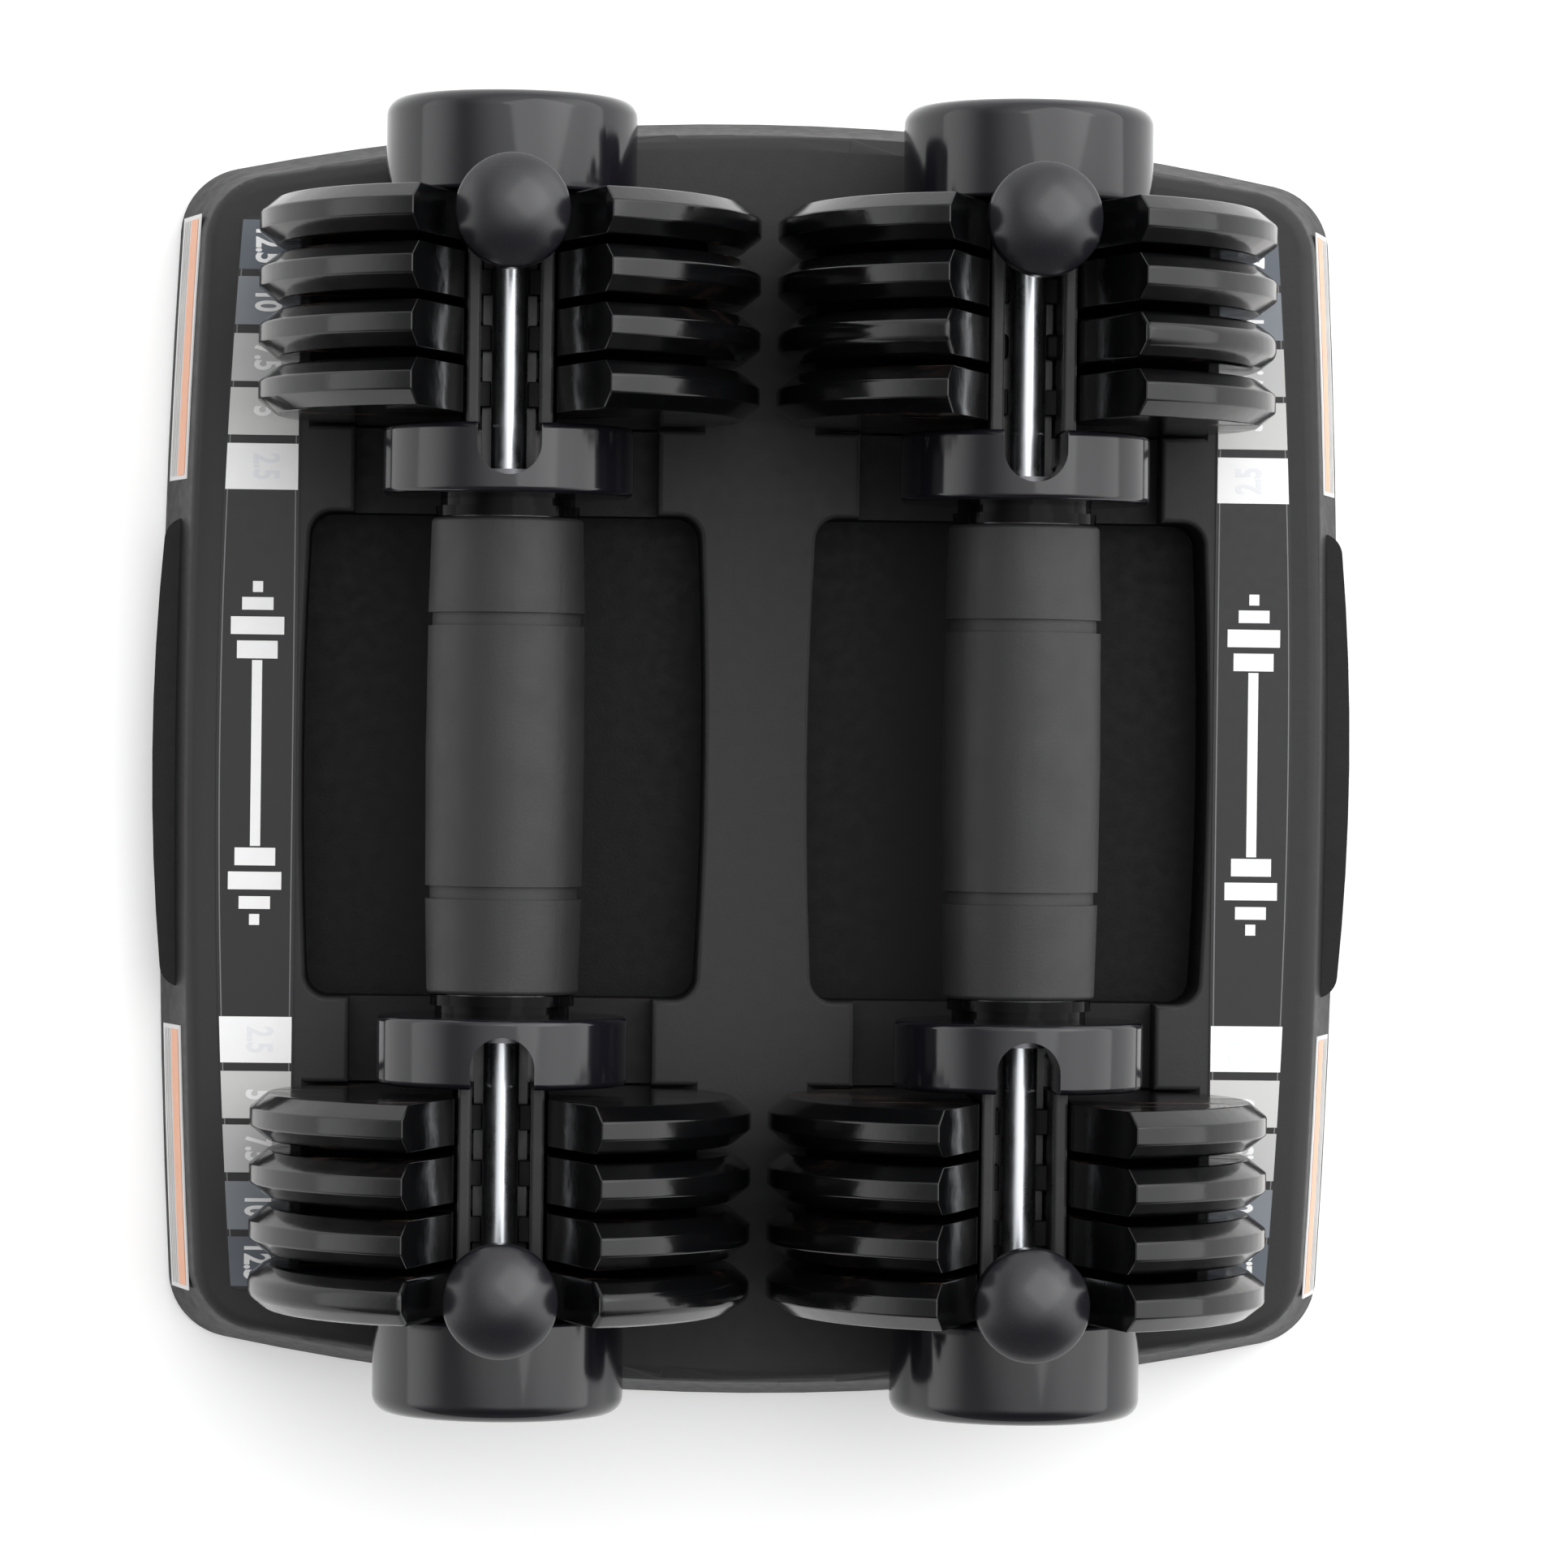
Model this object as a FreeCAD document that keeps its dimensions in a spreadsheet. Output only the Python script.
import FreeCAD, Part
import math
import os
import Sketcher

# A pair of adjustable dumbbells in their storage tray, in millimetres.
# +Z is up, the tray stands on Z = 0, and both dumbbells lie along Y.
# Each dumbbell has two alike ends. An end is drawn with its outward side
# towards +Y and its axis on the Y axis, and is turned and moved into place.

doc = FreeCAD.newDocument("adjustable_dumbbells")

DRIVING_SIZES = [
    # places of the two dumbbells
    ("row_spacing", 120.0),
    ("axis_height", 62.0),
    # plates
    ("plate_radius", 58.0),
    ("plate_thick", 10.8),
    ("plate_rim", 4.0),
    ("plate_bevel", 4.2),
    ("plate_first", 83.6),
    ("plate_pitch", 13.0),
    ("slot_half", 10.7),
    ("slot_neck", 22.0),
    ("slot_floor", 14.0),
    ("slot_slope", 0.367),
    ("lug_reach", 4.2),
    ("lug_top", 2.0),
    ("lug_base", 1.0),
    ("lug_long", 6.0),
    # handle tube, grip and rings
    ("tube_radius", 14.0),
    ("tube_bore", 12.0),
    ("tube_half", 65.9),
    ("fit_gap", 0.05),
    ("grip_half", 55.0),
    ("grip_end_radius", 17.5),
    ("grip_mid_radius", 18.35),
    ("groove_place", 31.5),
    ("groove_wide", 3.0),
    ("groove_deep", 1.0),
    ("ring_inner", 55.2),
    ("ring_radius", 16.75),
    ("ring_wide", 2.4),
    ("ring_step_radius", 15.6),
    # inner collar
    ("collar_radius", 29.0),
    ("collar_inner", 60.0),
    ("collar_outer", 76.0),
    ("collar_socket", 6.0),
    ("collar_edge", 1.4),
    ("notch_half", 7.3),
    ("notch_end", 64.0),
    ("passage_half", 6.8),
    ("passage_top", 9.5),
    # channel
    ("channel_half", 9.9),
    ("channel_top", 20.0),
    ("channel_base", 9.0),
    ("channel_floor", 4.8),
    ("channel_wall", 3.1),
    ("channel_gap", 0.1),
    ("rail_round", 0.8),
    ("tongue_start", 67.8),
    ("tongue_half", 6.1),
    ("window_long", 7.9),
    ("window_inner", 4.0),
    ("window_top", 2.6),
    ("dimple_radius", 1.9),
    ("dimple_deep", 1.5),
    ("block_start", 127.0),
    ("block_end", 141.0),
    # end cap and its screws
    ("cap_inner", 129.0),
    ("cap_outer", 151.7),
    ("cap_outer_edge", 4.0),
    ("cap_inner_edge", 1.0),
    ("screw_high", 13.0),
    ("screw_low", 3.5),
    ("screw_radius", 2.5),
    ("screw_long", 13.0),
    ("screw_head_radius", 4.25),
    ("screw_head_deep", 5.0),
    ("screw_hex", 2.3),
    ("screw_hex_deep", 2.5),
    ("counterbore_radius", 4.8),
    ("counterbore_deep", 5.6),
    # selector bar
    ("bar_radius", 4.1),
    ("bar_height", 4.9),
    ("bar_inner", 62.0),
    ("bar_outer", 126.0),
    ("web_half", 1.5),
    ("foot_half", 6.2),
    ("foot_top", 1.3),
    ("foot_base", 4.5),
    ("stem_radius", 4.0),
    ("stem_place", 122.6),
    ("stem_top", 36.0),
    ("spring_room_radius", 3.1),
    ("spring_room_base", 10.0),
    ("spring_room_top", 34.6),
    # plunger pin, spring and knob
    ("pin_radius", 1.5),
    ("pin_top", 44.0),
    ("shoulder_base", 11.0),
    ("shoulder_thick", 2.0),
    ("shoulder_radius", 2.9),
    ("coil_radius", 2.3),
    ("coil_wire", 0.35),
    ("coil_pitch", 3.0),
    ("knob_radius", 13.0),
    ("knob_base", 38.0),
    ("knob_side_base", 40.0),
    ("knob_side_top", 45.5),
    ("knob_top", 51.5),
    ("knob_foot", 11.2),
    ("knob_round", 1.6),
    # tray
    ("foot_height", 1.5),
    ("deck_height", 27.0),
    ("deck_half_wide", 134.7),
    ("base_half_wide", 142.4),
    ("deck_half_long", 148.0),
    ("base_half_long", 153.4),
    ("end_curve", 616.0),
    ("side_curve", 2200.0),
    ("tray_corner", 17.0),
    ("tray_edge", 4.0),
    ("tray_wall", 3.0),
    ("well_half_wide", 47.8),
    ("well_half_long", 57.6),
    ("well_curve", 1000.0),
    ("well_floor", 3.5),
    ("well_corner", 5.5),
    ("well_edge", 1.2),
    ("recess_half_wide", 36.0),
    ("recess_floor", 17.0),
    ("recess_end", 79.0),
    ("bay_radius", 58.6),
    ("bay_wide", 11.6),
    ("bay_rib_top", 14.0),
    ("saddle_half_wide", 13.0),
    ("saddle_start", 132.0),
    ("saddle_end", 145.0),
    ("saddle_rise", 9.0),
    ("saddle_gap", 0.4),
    ("hold_reach", 143.6),
    ("hold_half_long", 56.0),
    ("hold_top", 15.5),
    ("hold_curve", 560.0),
    ("finger_half_long", 45.0),
    ("finger_top", 11.5),
    ("tread_radius", 7.0),
    ("tread_grip_x", 35.0),
    ("tread_grip_y", 45.0),
    ("tread_bay_y", 109.6),
    # printed strips on the deck and labels on the side walls
    ("strip_inner", 109.1),
    ("strip_outer", 128.0),
    ("strip_half_long", 127.0),
    ("strip_curve", 1718.0),
    ("strip_thick", 0.3),
    ("strip_corner", 2.5),
    ("label_start", 65.0),
    ("label_end", 128.0),
    ("label_base", 5.0),
    ("label_top", 20.0),
]

ENDS = {"front": -1, "back": 1}
SIDES = {"left": -1, "right": 1}
PLATE_COUNT = 4
STEP_COUNT = 5
SPRING_FOOT = "shoulder_base + shoulder_thick + coil_wire"
REACH = 80.0


def make_sheet():
    sheet = doc.addObject("Spreadsheet::Sheet", "Sizes")
    for row, (alias, value) in enumerate(DRIVING_SIZES, start=1):
        sheet.set(f"A{row}", alias)
        sheet.set(f"B{row}", str(value))
        sheet.setAlias(f"B{row}", alias)
    doc.recompute()
    return sheet


sheet = make_sheet()
ALIASES = sorted((alias for alias, _ in DRIVING_SIZES), key=len, reverse=True)


def size(alias):
    return float(sheet.get(alias))


def linked(expression):
    """The expression with every alias written as a cell of the sheet."""
    words = []
    word = ""
    for letter in str(expression) + " ":
        if letter.isalnum() or letter in "_.":
            word += letter
            continue
        words.append("Sizes." + word if word in ALIASES else word)
        words.append(letter)
        word = ""
    return "".join(words).strip()


def bind(thing, prop, expression):
    thing.setExpression(prop, linked(expression))


draft = doc.addObject("Spreadsheet::Sheet", "Draft")
known_values = {}


def value_of(expression):
    """The number that an expression of aliases comes to, for a first drawing."""
    text = linked(expression)
    if text not in known_values:
        draft.set("A1", "=" + text)
        draft.recompute()
        known_values[text] = float(draft.get("A1"))
    return known_values[text]


# ---------------------------------------------------------------- sketches

def new_body(name):
    body = doc.addObject("PartDesign::Body", name)
    body.Label = name
    return body


def origin_plane(body, role):
    return next(item for item in body.Origin.OriginFeatures if item.Role == role)


def new_sketch(body, name, role, offset="0"):
    """A sketch on an origin plane, offset along the plane's own normal."""
    sketch = body.newObject("Sketcher::SketchObject", f"{body.Name}_{name}")
    sketch.AttachmentSupport = [(origin_plane(body, role), "")]
    sketch.MapMode = "FlatFace"
    if offset != "0":
        bind(sketch, "AttachmentOffset.Base.z", offset)
    return sketch


def constrain(sketch, expression, *what):
    """A dimension whose value is an expression of the sheet's sizes."""
    index = sketch.addConstraint(Sketcher.Constraint(*what, value_of(expression)))
    bind(sketch, f"Constraints[{index}]", expression)


def pin_point(sketch, line, end, x, y):
    """Hold one end of a line at a place given by two expressions."""
    for kind, expression in (("DistanceX", x), ("DistanceY", y)):
        constrain(sketch, expression, kind, -1, 1, line, end)


def draw_loop(sketch, points):
    """A closed outline of straight lines through points given as expressions."""
    places = [FreeCAD.Vector(value_of(x), value_of(y), 0) for x, y in points]
    first = sketch.GeometryCount
    count = len(points)
    for index, place in enumerate(places):
        following = places[(index + 1) % count]
        sketch.addGeometry(Part.LineSegment(place, following), False)
    for index in range(count):
        after = first + (index + 1) % count
        sketch.addConstraint(Sketcher.Constraint("Coincident", first + index, 2, after, 1))
    for index, (x, y) in enumerate(points):
        pin_point(sketch, first + index, 1, x, y)


def draw_box(sketch, x_low, x_high, y_low, y_high):
    draw_loop(sketch, [(x_low, y_low), (x_high, y_low), (x_high, y_high), (x_low, y_high)])


def draw_circle(sketch, x, y, radius):
    centre = FreeCAD.Vector(value_of(x), value_of(y), 0)
    circle = Part.Circle(centre, FreeCAD.Vector(0, 0, 1), value_of(radius))
    line = sketch.addGeometry(circle, False)
    pin_point(sketch, line, 3, x, y)
    constrain(sketch, radius, "Radius", line)


def draw_open_with_arc(sketch, points, centre, turn):
    """Straight lines through points, closed by an arc from the last to the first.

    centre holds the arc's centre as two expressions, and turn is the angle in
    degrees of a point in the middle of the arc.
    """
    places = [FreeCAD.Vector(value_of(x), value_of(y), 0) for x, y in points]
    for start, stop in zip(places, places[1:]):
        sketch.addGeometry(Part.LineSegment(start, stop), False)
    last = len(places) - 2
    middle = FreeCAD.Vector(value_of(centre[0]), value_of(centre[1]), 0)
    radius = middle.distanceToPoint(places[0])
    way = FreeCAD.Vector(math.cos(math.radians(turn)), math.sin(math.radians(turn)), 0)
    arc = Part.Arc(places[-1], middle + way * radius, places[0])
    line = sketch.addGeometry(arc, False)
    for index in range(last):
        sketch.addConstraint(Sketcher.Constraint("Coincident", index, 2, index + 1, 1))
    starts_last = sketch.getPoint(line, 1).distanceToPoint(places[-1]) < 1e-6
    near_last, near_first = (1, 2) if starts_last else (2, 1)
    sketch.addConstraint(Sketcher.Constraint("Coincident", last, 2, line, near_last))
    sketch.addConstraint(Sketcher.Constraint("Coincident", 0, 1, line, near_first))
    for index, (x, y) in enumerate(points[:-1]):
        pin_point(sketch, index, 1, x, y)
    pin_point(sketch, last, 2, *points[-1])
    if abs(value_of(centre[1])) > 1e-9 and places[0].y == places[-1].y:
        kind, expression = "DistanceY", centre[1]
    else:
        kind, expression = "DistanceX", centre[0]
    constrain(sketch, expression, kind, -1, 1, line, 3)


# ---------------------------------------------------------------- features

def volume_after(body):
    doc.recompute()
    return body.Shape.Volume


def pad(body, sketch, length, reverse=False, middle=False):
    before = body.Shape.Volume if body.Tip else 0.0
    feature = body.newObject("PartDesign::Pad", f"{sketch.Name}_pad")
    feature.Profile = sketch
    feature.SideType = "Symmetric" if middle else "One side"
    feature.Reversed = reverse
    bind(feature, "Length", length)
    if volume_after(body) <= before:
        raise RuntimeError(f"{feature.Name} adds nothing")
    return feature


def pocket(body, sketch, length, reverse=False, middle=False):
    before = body.Shape.Volume
    feature = body.newObject("PartDesign::Pocket", f"{sketch.Name}_pocket")
    feature.Profile = sketch
    feature.SideType = "Symmetric" if middle else "One side"
    feature.Reversed = reverse
    bind(feature, "Length", length)
    if volume_after(body) >= before:
        raise RuntimeError(f"{feature.Name} cuts nothing")
    return feature


def revolve(body, sketch, axis):
    feature = body.newObject("PartDesign::Revolution", f"{sketch.Name}_turn")
    feature.Profile = sketch
    feature.ReferenceAxis = (sketch, [axis])
    feature.Angle = 360.0
    doc.recompute()
    return feature


def repeat_along_y(body, original, sketch, length, count):
    before = body.Shape.Volume
    feature = body.newObject("PartDesign::LinearPattern", f"{original.Name}_row")
    feature.Originals = [original]
    feature.Direction = (sketch, ["V_Axis"])
    bind(feature, "Length", length)
    feature.Occurrences = count
    body.Tip = feature
    if volume_after(body) == before:
        raise RuntimeError(f"{feature.Name} repeats nothing")
    return feature


def round_edges(body, chosen, radius):
    """Fillet the edges of the body's last feature that the test chosen accepts."""
    base = body.Tip
    names = [f"Edge{n}" for n, edge in enumerate(base.Shape.Edges, 1) if chosen(edge)]
    feature = body.newObject("PartDesign::Fillet", f"{base.Name}_round")
    feature.Base = (base, names)
    bind(feature, "Radius", radius)
    doc.recompute()
    return feature


def circle_at(edge, axis, place, radius):
    """True for a circle about the Y or Z axis at the given place and radius."""
    if edge.Degenerated or not isinstance(edge.Curve, Part.Circle):
        return False
    centre = edge.Curve.Center
    at_place = abs(getattr(centre, axis) - place) < 1e-6
    return at_place and abs(edge.Curve.Radius - radius) < 1e-6


# ---------------------------------------------------------------- placing

def place_end(thing, side, end, along="0"):
    """Put an end piece on its dumbbell, with its outward side away from the grip."""
    turn = 0 if ENDS[end] > 0 else 180
    thing.Placement = FreeCAD.Placement(FreeCAD.Vector(), FreeCAD.Rotation(turn, 0, 0))
    bind(thing, "Placement.Base.x", f"{SIDES[side]} * row_spacing / 2")
    bind(thing, "Placement.Base.y", f"{ENDS[end]} * ({along})")
    bind(thing, "Placement.Base.z", "axis_height")


def place_dumbbell(thing, side):
    bind(thing, "Placement.Base.x", f"{SIDES[side]} * row_spacing / 2")
    bind(thing, "Placement.Base.z", "axis_height")


def rod_along_y(name, radius, start, length, z="0", x="0"):
    rod = doc.addObject("Part::Cylinder", name)
    bind(rod, "Radius", radius)
    bind(rod, "Height", length)
    rod.Placement.Rotation = FreeCAD.Rotation(FreeCAD.Vector(1, 0, 0), -90)
    bind(rod, "Placement.Base.x", x)
    bind(rod, "Placement.Base.y", start)
    bind(rod, "Placement.Base.z", z)
    return rod


def rod_along_z(name, radius, base, height, x="0", y="0"):
    rod = doc.addObject("Part::Cylinder", name)
    bind(rod, "Radius", radius)
    bind(rod, "Height", height)
    bind(rod, "Placement.Base.x", x)
    bind(rod, "Placement.Base.y", y)
    bind(rod, "Placement.Base.z", base)
    return rod


def block(name, x, y, z):
    """A box whose low and high places along each axis are expressions."""
    box = doc.addObject("Part::Box", name)
    for side, base, (low, high) in (("Length", "x", x), ("Width", "y", y), ("Height", "z", z)):
        bind(box, side, f"({high}) - ({low})")
        bind(box, f"Placement.Base.{base}", low)
    return box


def fuse(name, things):
    joined = doc.addObject("Part::MultiFuse", name)
    joined.Shapes = things
    return joined


def cut(name, base, tool):
    rest = doc.addObject("Part::Cut", name)
    rest.Base = base
    rest.Tool = tool
    return rest


def overlap(name, things):
    shared = doc.addObject("Part::MultiCommon", name)
    shared.Shapes = things
    return shared


def group(name, things):
    together = doc.addObject("Part::Compound", name)
    together.Links = things
    together.Label = name
    return together


# ---------------------------------------------------------------- plates

def make_plate(side, end, number):
    """A bevelled iron disc with a guide slot and two lifting lugs."""
    body = new_body(f"plate_{side}_{end}_{number}")
    profile = new_sketch(body, "disc", "YZ_Plane")
    shoulder = "plate_radius - plate_bevel"
    draw_loop(profile, [
        ("-plate_thick / 2", "0"),
        ("-plate_thick / 2", shoulder),
        ("-plate_rim / 2", "plate_radius"),
        ("plate_rim / 2", "plate_radius"),
        ("plate_thick / 2", shoulder),
        ("plate_thick / 2", "0"),
    ])
    revolve(body, profile, "H_Axis")
    slot = new_sketch(body, "slot", "XZ_Plane")
    mouth = "plate_radius + 2"
    mouth_half = "slot_half + (plate_radius + 2 - slot_neck) * slot_slope"
    draw_loop(slot, [
        ("-slot_half", "-slot_floor"),
        ("slot_half", "-slot_floor"),
        ("slot_half", "slot_neck"),
        (mouth_half, mouth),
        (f"-({mouth_half})", mouth),
        ("-slot_half", "slot_neck"),
    ])
    pocket(body, slot, "plate_thick * 2", middle=True)
    lugs = new_sketch(body, "lugs", "XZ_Plane")
    draw_box(lugs, "lug_reach", "slot_half + 1", "-lug_base", "lug_top")
    draw_box(lugs, "-slot_half - 1", "-lug_reach", "-lug_base", "lug_top")
    pad(body, lugs, "lug_long", middle=True)
    place_end(body, side, end, f"plate_first + {PLATE_COUNT - number} * plate_pitch")
    return body


# ---------------------------------------------------------------- handle

def make_handle_tube(side):
    outer = rod_along_y(f"tube_outside_{side}", "tube_radius", "-tube_half", "2 * tube_half")
    inner = rod_along_y(f"tube_inside_{side}", "tube_bore", "-tube_half - 1", "2 * tube_half + 2")
    tube = cut(f"handle_tube_{side}", outer, inner)
    place_dumbbell(tube, side)
    return tube


def make_grip(side):
    """A soft sleeve, a little fuller in the middle, with a groove near each end."""
    body = new_body(f"grip_{side}")
    profile = new_sketch(body, "sleeve", "YZ_Plane")
    bore = "tube_radius + fit_gap"
    near = "groove_place - groove_wide / 2"
    far = "groove_place + groove_wide / 2"
    lip = "grip_mid_radius - 0.25"
    half = [
        ("grip_half", "grip_end_radius"),
        (far, lip),
        (far, f"{lip} - groove_deep"),
        (near, f"{lip} - groove_deep"),
        (near, lip),
    ]
    mirrored = [(f"-({y})", radius) for y, radius in reversed(half)]
    ends = [("-grip_half", bore), ("grip_half", bore)]
    draw_loop(profile, ends + half + [("0", "grip_mid_radius")] + mirrored)
    revolve(body, profile, "H_Axis")
    outer = size("grip_end_radius")
    places = (size("grip_half"), -size("grip_half"))
    round_edges(body, lambda edge: any(circle_at(edge, "y", y, outer) for y in places), "1.2")
    place_dumbbell(body, side)
    return body


def make_grip_rings(side):
    """A stepped trim ring between the grip and each collar."""
    rings = []
    for end, sign in ENDS.items():
        name = f"ring_{side}_{end}"
        step = "collar_inner - ring_inner - ring_wide"
        flange_start = "ring_inner" if sign > 0 else "-ring_inner - ring_wide"
        step_start = "ring_inner + ring_wide" if sign > 0 else "-collar_inner"
        flange = rod_along_y(f"{name}_flange", "ring_radius", flange_start, "ring_wide")
        neck = rod_along_y(f"{name}_neck", "ring_step_radius", step_start, step)
        bore_start = "ring_inner - 1" if sign > 0 else "-collar_inner - 1"
        bore = rod_along_y(f"{name}_bore", "tube_radius + fit_gap", bore_start,
                           "collar_inner - ring_inner + 2")
        rings.append(cut(name, fuse(f"{name}_solid", [flange, neck]), bore))
    rings_group = group(f"grip_rings_{side}", rings)
    place_dumbbell(rings_group, side)
    return rings_group


def make_collar(side, end):
    """A round collar with a socket for the tube and a notch for the selector stem."""
    body = new_body(f"collar_{side}_{end}")
    profile = new_sketch(body, "ring", "YZ_Plane")
    bore = "tube_radius + fit_gap"
    draw_loop(profile, [
        ("collar_inner", bore),
        ("collar_inner", "collar_radius"),
        ("collar_outer", "collar_radius"),
        ("collar_outer", "0"),
        ("collar_inner + collar_socket", "0"),
        ("collar_inner + collar_socket", bore),
    ])
    revolve(body, profile, "H_Axis")
    rim = size("collar_radius")
    faces = (size("collar_inner"), size("collar_outer"))
    round_edges(body, lambda edge: any(circle_at(edge, "y", y, rim) for y in faces), "collar_edge")
    notch = new_sketch(body, "notch", "XY_Plane", "-channel_base - channel_gap")
    bend = "notch_end + notch_half"
    draw_open_with_arc(notch, [
        ("notch_half", bend),
        ("notch_half", "collar_outer + 1"),
        ("-notch_half", "collar_outer + 1"),
        ("-notch_half", bend),
    ], ("0", bend), 270)
    pocket(body, notch, "2 * collar_radius", reverse=True)
    passage = new_sketch(body, "passage", "XZ_Plane", "-collar_inner")
    draw_box(passage, "-passage_half", "passage_half", "-channel_floor", "passage_top")
    pocket(body, passage, "collar_outer - collar_inner + 1")
    place_end(body, side, end)
    return body


def make_channel(side, end):
    """The steel channel that carries the plates, guides the bar and holds the cap."""
    body = new_body(f"channel_{side}_{end}")
    start = "collar_outer + channel_gap"
    section = new_sketch(body, "section", "XZ_Plane", f"-({start})")
    inner = "channel_half - channel_wall"
    draw_loop(section, [
        ("-channel_half", "-channel_base"),
        ("channel_half", "-channel_base"),
        ("channel_half", "channel_top"),
        (inner, "channel_top"),
        (inner, "-channel_floor"),
        (f"-({inner})", "-channel_floor"),
        (f"-({inner})", "channel_top"),
        ("-channel_half", "channel_top"),
    ])
    pad(body, section, f"cap_inner - ({start})", reverse=True)
    top = size("channel_top")

    def is_rail_edge(edge):
        middle = edge.CenterOfMass
        return abs(middle.z - top) < 1e-6 and edge.Length > 2 * size("plate_pitch")

    round_edges(body, is_rail_edge, "rail_round")
    end_block = new_sketch(body, "end_block", "XZ_Plane", "-block_start")
    draw_box(end_block, "-channel_half", "channel_half", "-channel_base", "channel_top - 1")
    pad(body, end_block, "block_end - block_start", reverse=True)
    tongue = new_sketch(body, "tongue", "XZ_Plane", "-tongue_start")
    draw_box(tongue, "-tongue_half", "tongue_half", "-channel_base", "-channel_floor")
    pad(body, tongue, f"({start}) - tongue_start", reverse=True)
    taps = new_sketch(body, "taps", "XZ_Plane", "-block_end")
    for height in ("screw_high", "-screw_low"):
        draw_circle(taps, "0", height, "screw_radius + fit_gap")
    pocket(body, taps, "screw_long - 2", reverse=True)
    windows = new_sketch(body, "windows", "XY_Plane", "-channel_base")
    near = "plate_first - window_long / 2"
    far = "plate_first + window_long / 2"
    draw_box(windows, "window_inner", "channel_half + 1", near, far)
    draw_box(windows, "-channel_half - 1", "-window_inner", near, far)
    first = pocket(body, windows, "channel_base + window_top", reverse=True)
    repeat_along_y(body, first, windows, f"{PLATE_COUNT - 1} * plate_pitch", PLATE_COUNT)
    dimples = new_sketch(body, "dimples", "XY_Plane", "-channel_floor")
    draw_circle(dimples, "0", "plate_first - plate_pitch", "dimple_radius")
    first = pocket(body, dimples, "dimple_deep")
    repeat_along_y(body, first, dimples, f"{STEP_COUNT - 1} * plate_pitch", STEP_COUNT)
    place_end(body, side, end)
    return body


def make_end_cap(side, end):
    body = new_body(f"end_cap_{side}_{end}")
    profile = new_sketch(body, "disc", "YZ_Plane")
    draw_loop(profile, [
        ("cap_inner", "0"),
        ("cap_inner", "collar_radius"),
        ("cap_outer", "collar_radius"),
        ("cap_outer", "0"),
    ])
    revolve(body, profile, "H_Axis")
    rim = size("collar_radius")
    outer_face = size("cap_outer")
    inner_face = size("cap_inner")
    round_edges(body, lambda edge: circle_at(edge, "y", outer_face, rim), "cap_outer_edge")
    round_edges(body, lambda edge: circle_at(edge, "y", inner_face, rim), "cap_inner_edge")
    room = new_sketch(body, "room", "XZ_Plane", "-cap_inner")
    side_half = "channel_half + channel_gap"
    draw_box(room, f"-({side_half})", side_half, "-channel_base - channel_gap",
             "channel_top + channel_gap")
    pocket(body, room, "block_end + channel_gap - cap_inner")
    holes = new_sketch(body, "holes", "XZ_Plane", "-cap_outer")
    sinks = new_sketch(body, "sinks", "XZ_Plane", "-cap_outer")
    for height in ("screw_high", "-screw_low"):
        draw_circle(holes, "0", height, "screw_radius + 0.2")
        draw_circle(sinks, "0", height, "counterbore_radius")
    pocket(body, holes, "cap_outer - block_end", reverse=True)
    pocket(body, sinks, "counterbore_deep", reverse=True)
    place_end(body, side, end)
    return body


def make_end_screws(side, end):
    """Two socket screws that hold the cap on the channel's end block."""
    screws = []
    seat = "cap_outer - counterbore_deep"
    for level, height in (("high", "screw_high"), ("low", "-screw_low")):
        name = f"screw_{side}_{end}_{level}"
        head = rod_along_y(f"{name}_head", "screw_head_radius", seat, "screw_head_deep", height)
        shank = rod_along_y(f"{name}_shank", "screw_radius", f"{seat} - screw_long",
                            "screw_long", height)
        socket = doc.addObject("Part::Prism", f"{name}_socket")
        socket.Polygon = 6
        bind(socket, "Circumradius", "screw_hex")
        bind(socket, "Height", "screw_hex_deep + 1")
        socket.Placement.Rotation = FreeCAD.Rotation(FreeCAD.Vector(1, 0, 0), -90)
        bind(socket, "Placement.Base.y", f"{seat} + screw_head_deep - screw_hex_deep")
        bind(socket, "Placement.Base.z", height)
        screws.append(cut(name, fuse(f"{name}_blank", [head, shank]), socket))
    screws_group = group(f"end_screws_{side}_{end}", screws)
    place_end(screws_group, side, end)
    return screws_group


# ---------------------------------------------------------------- selector

def make_selector_bar(side, end):
    """A round bar on a T-shaped foot, with the hollow stem that carries the knob."""
    body = new_body(f"selector_bar_{side}_{end}")
    long = "bar_outer - bar_inner"
    rod = new_sketch(body, "rod", "XZ_Plane", "-bar_inner")
    draw_circle(rod, "0", "bar_height", "bar_radius")
    pad(body, rod, long, reverse=True)
    web = new_sketch(body, "web", "XZ_Plane", "-bar_inner")
    draw_box(web, "-web_half", "web_half", "-foot_top - 1", "bar_height - 1")
    pad(body, web, long, reverse=True)
    foot = new_sketch(body, "foot", "XZ_Plane", "-bar_inner")
    draw_box(foot, "-foot_half", "foot_half", "-foot_base", "-foot_top")
    pad(body, foot, long, reverse=True)
    stem = new_sketch(body, "stem", "XY_Plane", "bar_height")
    draw_circle(stem, "0", "stem_place", "stem_radius")
    pad(body, stem, "stem_top - bar_height")
    hole = new_sketch(body, "pin_hole", "XY_Plane", "stem_top")
    draw_circle(hole, "0", "stem_place", "pin_radius + fit_gap")
    pocket(body, hole, "stem_top + foot_base + 1")
    room = new_sketch(body, "spring_room", "XY_Plane", "spring_room_top")
    draw_circle(room, "0", "stem_place", "spring_room_radius")
    pocket(body, room, "spring_room_top - spring_room_base")
    place_end(body, side, end)
    return body


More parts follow.
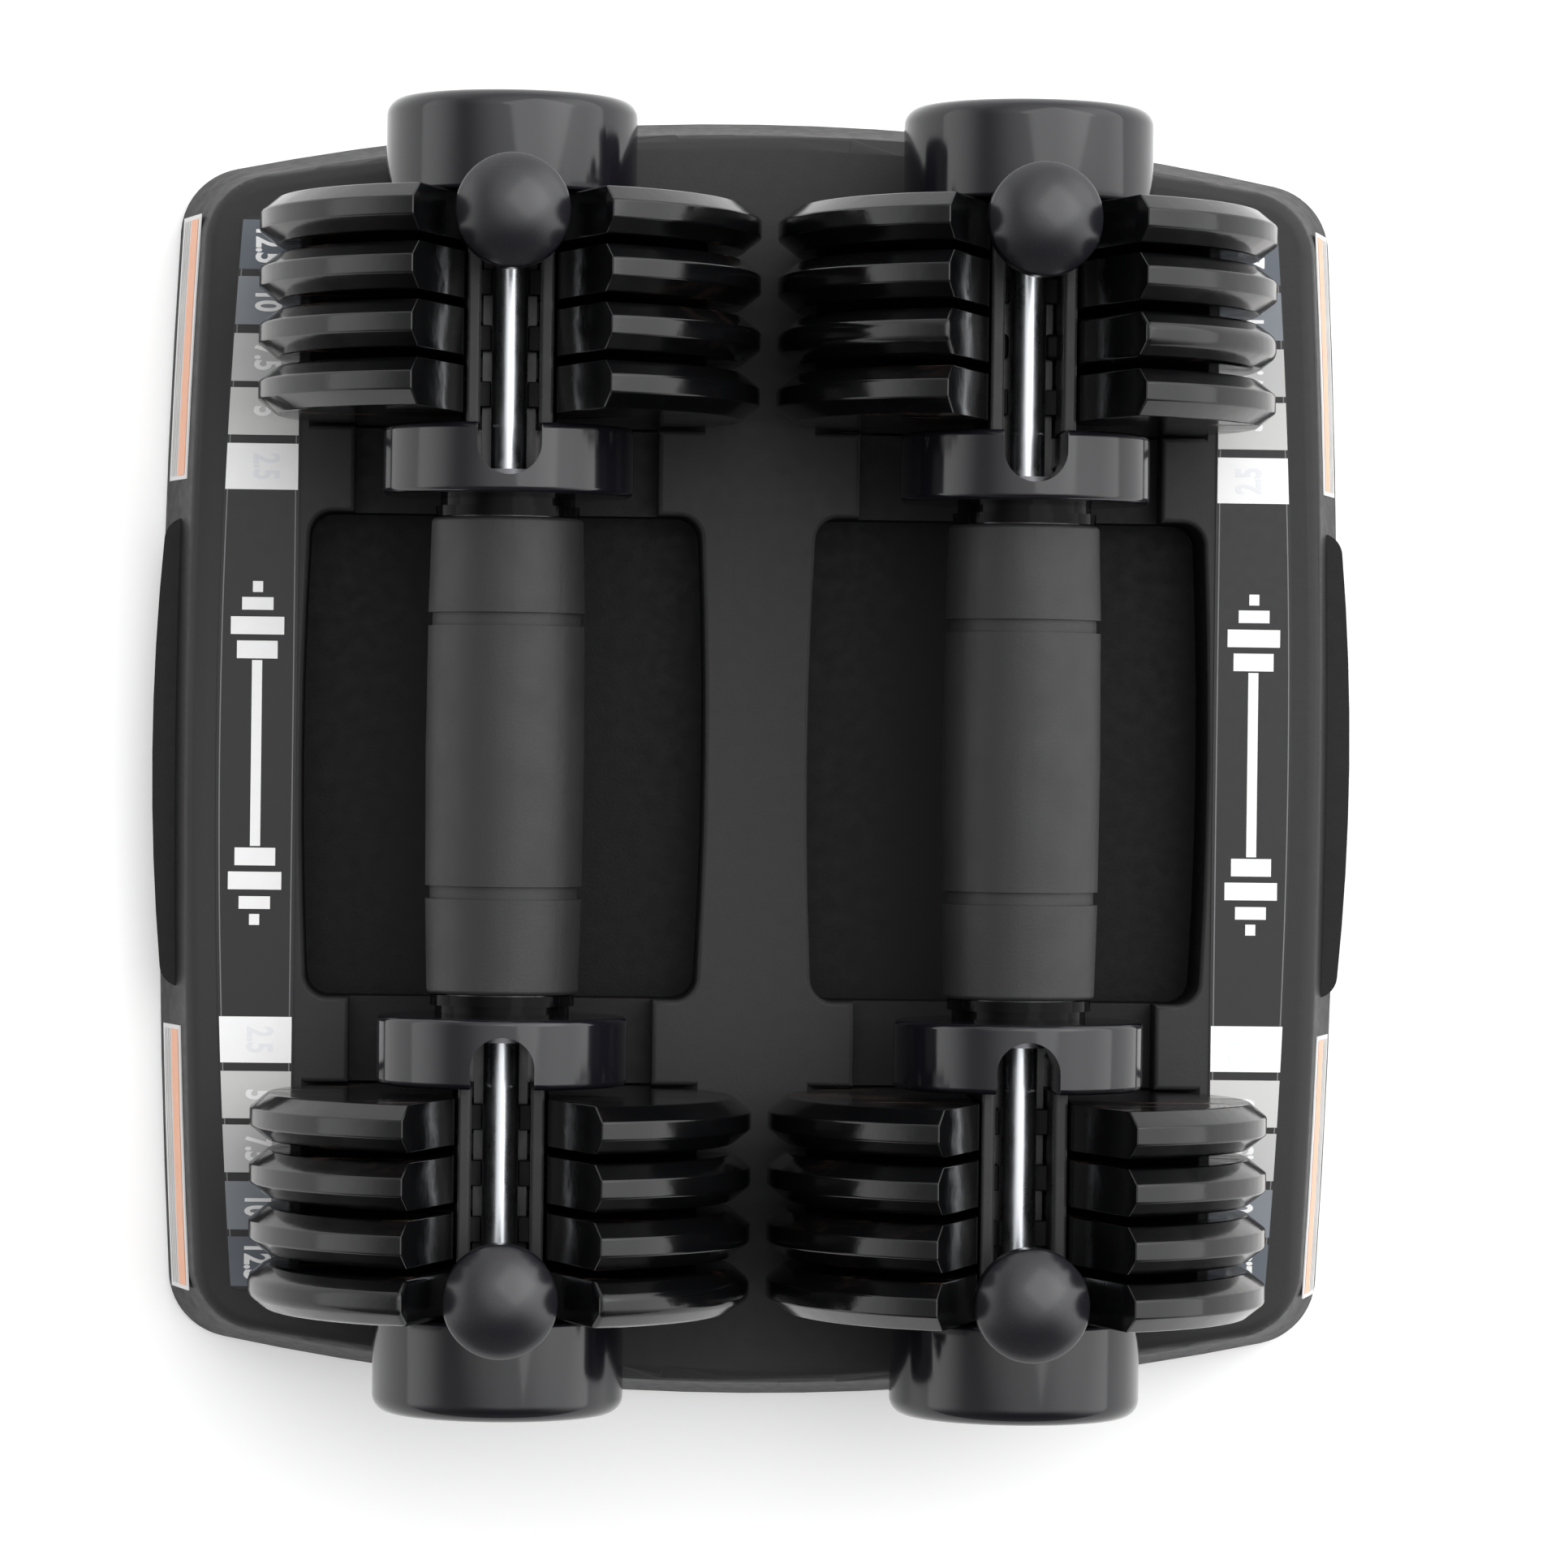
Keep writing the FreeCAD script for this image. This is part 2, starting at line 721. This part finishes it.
def make_plunger_pin(side, end):
    """The pin that the knob lifts, with the shoulder that its spring presses on."""
    name = f"plunger_pin_{side}_{end}"
    shaft = rod_along_z(f"{name}_shaft", "pin_radius", "-foot_base", "pin_top + foot_base",
                        y="stem_place")
    shoulder = rod_along_z(f"{name}_shoulder", "shoulder_radius", "shoulder_base",
                           "shoulder_thick", y="stem_place")
    pin = fuse(name, [shaft, shoulder])
    place_end(pin, side, end)
    return pin


def make_knob(side, end):
    body = new_body(f"knob_{side}_{end}")
    profile = new_sketch(body, "dome", "XZ_Plane")
    bore = "pin_radius + fit_gap"
    rise = "(knob_top - knob_side_top)"
    crown = f"knob_top - (knob_radius^2 + {rise}^2) / (2 * {rise})"
    draw_open_with_arc(profile, [
        ("0", "knob_top"),
        ("0", "pin_top + channel_gap"),
        (bore, "pin_top + channel_gap"),
        (bore, "knob_base"),
        ("knob_foot", "knob_base"),
        ("knob_radius", "knob_side_base"),
        ("knob_radius", "knob_side_top"),
    ], ("0", crown), 60)
    revolve(body, profile, "V_Axis")
    rim = size("knob_radius")
    shoulder = size("knob_side_top")
    round_edges(body, lambda edge: circle_at(edge, "z", shoulder, rim), "knob_round")
    place_end(body, side, end, "stem_place")
    return body


def make_knob_spring(side, end):
    """The coil spring round the pin, between its shoulder and the stem's closed top."""
    name = f"knob_spring_{side}_{end}"
    height = size("spring_room_top") - value_of(SPRING_FOOT) - size("coil_wire")
    helix = Part.makeHelix(size("coil_pitch"), height, size("coil_radius"))
    start = FreeCAD.Vector(size("coil_radius"), 0, 0)
    circle = Part.makeCircle(size("coil_wire"), start, FreeCAD.Vector(0, 1, 0))
    coil = Part.Wire(helix.Edges).makePipeShell([Part.Wire([circle])], True, True)
    spring = doc.addObject("Part::Feature", name)
    spring.Shape = coil
    spring.Label = name
    place_end(spring, side, end, "stem_place")
    bind(spring, "Placement.Base.z", f"axis_height + {SPRING_FOOT}")
    return spring


# ---------------------------------------------------------------- tray

def flared_cone(name, curve, base_half, deck_half, axis, sign, grow):
    """One curved, leaning wall of the tray's outline, as a very wide cone."""
    cone = doc.addObject("Part::Cone", name)
    bind(cone, "Radius1", f"{curve} + {grow}")
    bind(cone, "Radius2", f"{curve} - {base_half} + {deck_half} + {grow}")
    bind(cone, "Height", "deck_height - foot_height")
    bind(cone, f"Placement.Base.{axis}", f"{sign} * ({base_half} - {curve})")
    bind(cone, "Placement.Base.z", "foot_height")
    return cone


def tray_outline(name, grow):
    """The block between the four leaning walls, grown outwards by grow."""
    walls = []
    for sign in (-1, 1):
        word = "low" if sign < 0 else "high"
        walls.append(flared_cone(f"{name}_end_{word}", "end_curve", "base_half_long",
                                 "deck_half_long", "y", sign, grow))
        walls.append(flared_cone(f"{name}_side_{word}", "side_curve", "base_half_wide",
                                 "deck_half_wide", "x", sign, grow))
    return overlap(name, walls)


def rounded_block(base, chosen, radius, name):
    """A copy of base with the edges that the test chosen accepts filleted."""
    doc.recompute()
    fillet = doc.addObject("Part::Fillet", name)
    fillet.Base = base
    edges = [n for n, edge in enumerate(base.Shape.Edges, 1) if chosen(edge)]
    fillet.Edges = [(n, radius, radius) for n in edges]
    doc.recompute()
    if fillet.Shape.isNull() or not fillet.Shape.isValid():
        raise RuntimeError(f"{name} can't be rounded")
    return fillet


def is_upright(edge):
    first, last = edge.Vertexes[0].Point, edge.Vertexes[-1].Point
    return abs(last.z - first.z) > 0.6 * edge.Length and edge.Length > 1


def is_at_height(height):
    def test(edge):
        box = edge.BoundBox
        return abs(box.ZMin - height) < 1e-4 and abs(box.ZMax - height) < 1e-4
    return test


def tray_block(name, grow):
    """The tray's outside before its wells are cut, with rounded corners and deck edge."""
    corners = rounded_block(tray_outline(f"{name}_outline", grow), is_upright,
                            size("tray_corner") + grow, f"{name}_corners")
    return rounded_block(corners, is_at_height(size("deck_height")), size("tray_edge"), name)


def well_tools(side):
    """What is cut from the deck for one dumbbell.

    A grip well with gently bowed sides, a collar recess at each end, and at each
    end a bay with low ribs between its plates.
    """
    middle = f"{SIDES[side]} * row_spacing / 2"
    over = "deck_height + 1"
    room = block(f"well_{side}_room", (f"{middle} - well_half_wide", f"{middle} + well_half_wide"),
                 ("-well_half_long", "well_half_long"), ("well_floor", over))
    sides = [rod_along_z(f"well_{side}_side_{word}", "well_curve", "well_floor",
                         f"{over} - well_floor", f"{middle} + ({bow})")
             for word, bow in (("low", "well_curve - well_half_wide"),
                               ("high", "well_half_wide - well_curve"))]
    well = overlap(f"well_{side}", [room] + sides)
    tools = [rounded_block(well, is_upright, size("well_corner"), f"well_{side}_round")]
    for end, sign in ENDS.items():
        name = f"{side}_{end}"
        low, high = sorted(("well_half_long - 8", "recess_end"), key=value_of)
        span = (low, high) if sign > 0 else (f"-({high})", f"-({low})")
        tools.append(block(f"recess_{name}",
                           (f"{middle} - recess_half_wide", f"{middle} + recess_half_wide"),
                           span, ("recess_floor", over)))
        start = "(plate_first - bay_wide / 2)"
        long = f"({PLATE_COUNT - 1} * plate_pitch + bay_wide)"
        room = rod_along_y(f"bay_room_{name}", "bay_radius",
                           start if sign > 0 else f"-{start} - {long}", long,
                           "axis_height", middle)
        ribs = []
        for number in range(1, PLATE_COUNT):
            rib = sorted((f"{sign} * ({start} + {number} * plate_pitch)",
                          f"{sign} * ({start} + {number} * plate_pitch - plate_pitch + bay_wide)"),
                         key=value_of)
            ribs.append(block(f"bay_rib_{name}_{number}",
                              (f"{middle} - bay_radius", f"{middle} + bay_radius"),
                              rib, ("0", "bay_rib_top")))
        tools.append(cut(f"bay_{name}", room, fuse(f"bay_ribs_{name}", ribs)))
    return tools


def well_walls(side):
    """The solid that stays round one dumbbell's wells inside the hollow tray."""
    middle = f"{SIDES[side]} * row_spacing / 2"
    below = "-5"
    over = "deck_height + 1"
    half = "(well_half_wide + tray_wall)"
    walls = [block(f"well_wall_{side}", (f"{middle} - {half}", f"{middle} + {half}"),
                   ("-well_half_long - tray_wall", "well_half_long + tray_wall"), (below, over))]
    for end, sign in ENDS.items():
        start = "plate_first - bay_wide / 2 - tray_wall"
        stop = f"plate_first + {PLATE_COUNT - 1} * plate_pitch + bay_wide / 2 + tray_wall"
        low = start if sign > 0 else f"-({stop})"
        walls.append(rod_along_y(f"bay_wall_{side}_{end}", "bay_radius + tray_wall", low,
                                 f"({stop}) - ({start})", "axis_height", middle))
        half_recess = "(recess_half_wide + tray_wall)"
        span = ("well_half_long", "recess_end + tray_wall")
        if sign < 0:
            span = ("-recess_end - tray_wall", "-well_half_long")
        walls.append(block(f"recess_wall_{side}_{end}",
                           (f"{middle} - {half_recess}", f"{middle} + {half_recess}"),
                           span, ("recess_floor - tray_wall", over)))
    return walls


def saddles(side):
    """Two cradles on the deck that the end caps lie in."""
    middle = f"{SIDES[side]} * row_spacing / 2"
    rests = []
    for end, sign in ENDS.items():
        span = ("saddle_start", "saddle_end") if sign > 0 else ("-saddle_end", "-saddle_start")
        rest = block(f"saddle_{side}_{end}",
                     (f"{middle} - saddle_half_wide", f"{middle} + saddle_half_wide"),
                     span, ("deck_height - tray_wall", "deck_height + saddle_rise"))
        hollow = rod_along_y(f"saddle_hollow_{side}_{end}", "collar_radius + saddle_gap",
                             f"({span[0]}) - 1", "saddle_end - saddle_start + 2",
                             "axis_height", middle)
        rests.append(cut(f"saddle_cut_{side}_{end}", rest, hollow))
    return rests


def across_side(sign, low, high):
    """The span from low to high on the tray's left or right side."""
    return (low, high) if sign > 0 else (f"-({high})", f"-({low})")


def hand_hold(sign):
    """The lens-shaped ledge of one hand-hold, low on the leaning side wall."""
    word = "left" if sign < 0 else "right"
    blank = block(f"hold_{word}_blank", across_side(sign, "deck_half_wide - 6", "hold_reach + 1"),
                  ("-hold_half_long", "hold_half_long"), ("foot_height", "hold_top"))
    face = rod_along_z(f"hold_{word}_face", "hold_curve", "foot_height",
                       "hold_top - foot_height", f"{sign} * (hold_reach - hold_curve)", "0")
    return overlap(f"hold_{word}", [blank, face])


def finger_room(sign):
    """The space that the fingers go into under one hand-hold's ledge."""
    word = "left" if sign < 0 else "right"
    inside = "well_half_wide + row_spacing / 2 + tray_wall + 2"
    return block(f"fingers_{word}", across_side(sign, inside, "hold_reach + 1"),
                 ("-finger_half_long", "finger_half_long"), ("foot_height", "finger_top"))


def hollow_block(name):
    """The room inside the tray's walls and under its deck, before the wells' walls."""
    room = rounded_block(tray_outline(f"{name}_outline", "-tray_wall"), is_upright,
                         size("tray_corner") - size("tray_wall"), f"{name}_corners")
    lid = block(f"{name}_lid", ("-base_half_wide", "base_half_wide"),
                ("-base_half_long", "base_half_long"),
                ("deck_height - tray_wall", "deck_height + 1"))
    return cut(name, room, lid)


def make_tray_shell():
    """One moulding: flared outer walls, a deck, and wells for two dumbbells."""
    outside = tray_block("tray_block", 0)
    holds = []
    for sign in (-1, 1):
        raw = hand_hold(sign)
        holds.append(rounded_block(raw, is_upright, size("well_corner"), raw.Name + "_round"))
    solid = fuse("tray_solid", [outside] + holds + saddles("left") + saddles("right"))
    core = cut("tray_core", hollow_block("tray_room"),
               fuse("tray_well_walls", well_walls("left") + well_walls("right")))
    finger_rooms = [finger_room(sign) for sign in (-1, 1)]
    wells = well_tools("left") + well_tools("right")
    tools = fuse("tray_tools", wells + finger_rooms + [core])
    shell = rounded_block(cut("tray_cut", solid, tools), is_well_rim, size("well_edge"),
                          "tray_shell")
    shell.Label = "tray_shell"
    return shell


def is_well_rim(edge):
    """True for the deck's edges round the grip wells and along the collar recesses."""
    if not is_at_height(size("deck_height"))(edge):
        return False
    box = edge.BoundBox
    across = abs(box.Center.x - math.copysign(size("row_spacing") / 2, box.Center.x))
    if across > size("well_half_wide") + 0.1 or abs(box.Center.y) > size("recess_end"):
        return False
    return across > size("recess_half_wide") - 0.1


def make_tray_feet():
    feet = []
    places = []
    for x_sign in (-1, 1):
        for y_sign in (-1, 1):
            places.append((f"{x_sign} * row_spacing / 2", f"{y_sign} * tread_bay_y"))
            places.append((f"{x_sign} * (row_spacing / 2 + tread_grip_x)",
                           f"{y_sign} * tread_grip_y"))
    for number, (x, y) in enumerate(places, 1):
        feet.append(rod_along_z(f"foot_{number}", "tread_radius", "0", "foot_height", x, y))
    return group("tray_feet", feet)


def make_scale_strip(side):
    """A thin printed strip on the deck beside one dumbbell, curved on its outer side."""
    body = new_body(f"scale_strip_{side}")
    outline = new_sketch(body, "outline", "XY_Plane", "deck_height")
    corner = "strip_outer - strip_curve + sqrt(strip_curve^2 - strip_half_long^2)"
    draw_open_with_arc(outline, [
        (corner, "strip_half_long"),
        ("strip_inner", "strip_half_long"),
        ("strip_inner", "-strip_half_long"),
        (corner, "-strip_half_long"),
    ], ("strip_outer - strip_curve", "0"), 0)
    pad(body, outline, "strip_thick")
    round_edges(body, is_upright_short, "strip_corner")
    if side == "left":
        body.Placement.Rotation = FreeCAD.Rotation(180, 0, 0)
    return body


def is_upright_short(edge):
    first, last = edge.Vertexes[0].Point, edge.Vertexes[-1].Point
    return abs(last.z - first.z) > 0.9 * edge.Length


def make_side_labels():
    """Four blank labels lying on the tray's leaning side walls."""
    skin = cut("label_skin", tray_outline("label_outer", "strip_thick"),
               tray_outline("label_inner", "0"))
    labels = []
    for x_sign in (-1, 1):
        for y_sign in (-1, 1):
            name = f"label_{'left' if x_sign < 0 else 'right'}_{'front' if y_sign < 0 else 'back'}"
            x = ("100", "hold_reach") if x_sign > 0 else ("-hold_reach", "-100")
            y = ("label_start", "label_end") if y_sign > 0 else ("-label_end", "-label_start")
            labels.append(overlap(name, [skin, block(f"{name}_block", x, y,
                                                     ("label_base", "label_top"))]))
    return group("side_labels", labels)


# ---------------------------------------------------------------- assembly

def make_everything():
    nodes = [make_tray_shell(), make_tray_feet(), make_side_labels()]
    for side in SIDES:
        nodes.append(make_scale_strip(side))
        nodes.append(make_handle_tube(side))
        nodes.append(make_grip(side))
        nodes.append(make_grip_rings(side))
        for end in ENDS:
            for make in (make_collar, make_channel, make_end_cap, make_end_screws,
                         make_selector_bar, make_plunger_pin, make_knob, make_knob_spring):
                nodes.append(make(side, end))
            for number in range(1, PLATE_COUNT + 1):
                nodes.append(make_plate(side, end, number))
    return nodes


def check_document(nodes):
    for thing in doc.Objects:
        if "Invalid" in thing.State or "Error" in thing.State:
            raise RuntimeError(f"{thing.Label} did not build: {thing.State}")
    for node in nodes:
        if node.Shape.isNull() or not node.Shape.isValid() or not node.Shape.Solids:
            raise RuntimeError(f"{node.Label} has no valid solid")


def export(nodes):
    os.makedirs("parts", exist_ok=True)
    for node in nodes:
        node.Shape.exportStep(f"parts/{node.Label}.step")
        solids = len(node.Shape.Solids)
        print(f"{node.Label}: {solids} solid(s), {node.Shape.Volume / 1000:.2f} cm3")


all_nodes = make_everything()
doc.removeObject(draft.Name)
doc.recompute()
check_document(all_nodes)
export(all_nodes)
